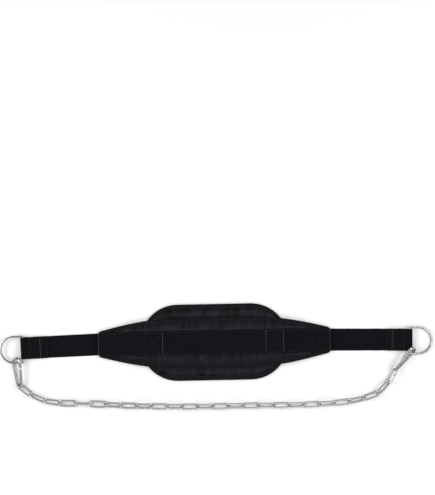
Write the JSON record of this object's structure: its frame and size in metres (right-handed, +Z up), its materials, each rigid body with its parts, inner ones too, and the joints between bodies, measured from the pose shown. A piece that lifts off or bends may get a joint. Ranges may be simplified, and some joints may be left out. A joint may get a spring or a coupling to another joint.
{
  "type": "dip belt",
  "caption": "Padded waist belt for weighted dips, laid open, with webbing straps, a D-ring at each end and a long-link chain clipped to both rings by snap hooks.",
  "frame": {"origin": "centre of the wide pad's flat underside, on the surface the belt lies on", "axes": "+X along the belt towards its right end, +Y across the belt away from the chain, +Z up from the surface"},
  "size_m": [0.9066, 0.2212, 0.0222],
  "materials": {
    "padded_cloth": "satin woven nylon over foam",
    "binding_tape": "matte woven tape",
    "webbing": "matte heavy webbing",
    "plated_steel": "bright plated"
  },
  "bodies": {
    "belt": {"back_pad": "padded_cloth", "taper_panel": "padded_cloth", "pad_binding": "binding_tape", "taper_binding_upper": "binding_tape", "taper_binding_lower": "binding_tape", "cross_webbing": "webbing", "strap_left": "webbing", "strap_right": "webbing", "d_ring_left": "plated_steel", "d_ring_right": "plated_steel", "hook_left": "plated_steel", "hook_right": "plated_steel", "link_01": "plated_steel", "link_02": "plated_steel", "link_03": "plated_steel", "link_04": "plated_steel", "link_05": "plated_steel", "link_06": "plated_steel", "link_07": "plated_steel", "link_08": "plated_steel", "link_09": "plated_steel", "link_10": "plated_steel", "link_11": "plated_steel", "link_12": "plated_steel", "link_13": "plated_steel", "link_14": "plated_steel", "link_15": "plated_steel", "link_16": "plated_steel", "link_17": "plated_steel", "link_18": "plated_steel", "link_19": "plated_steel", "link_20": "plated_steel", "link_21": "plated_steel", "link_22": "plated_steel", "link_23": "plated_steel", "link_24": "plated_steel", "link_25": "plated_steel", "link_26": "plated_steel"},
    "left_gate": {"gate_left": "plated_steel"},
    "right_gate": {"gate_right": "plated_steel"}
  },
  "joints": [
    {"name": "left_gate_hinge", "type": "hinge", "parent": "belt", "child": "left_gate", "pos_m": [-0.40545, -0.06849, 0.01198], "axis": [-0.6334, -0.1094, 0.766], "range_deg": [0, 18], "stiffness_Nm_per_rad": 0.05, "springref_deg": -20.05},
    {"name": "right_gate_hinge", "type": "hinge", "parent": "belt", "child": "right_gate", "pos_m": [0.39133, -0.05573, 0.003], "axis": [0.5792, -0.5792, 0.5736], "range_deg": [0, 18], "stiffness_Nm_per_rad": 0.05, "springref_deg": -20.05}
  ]
}
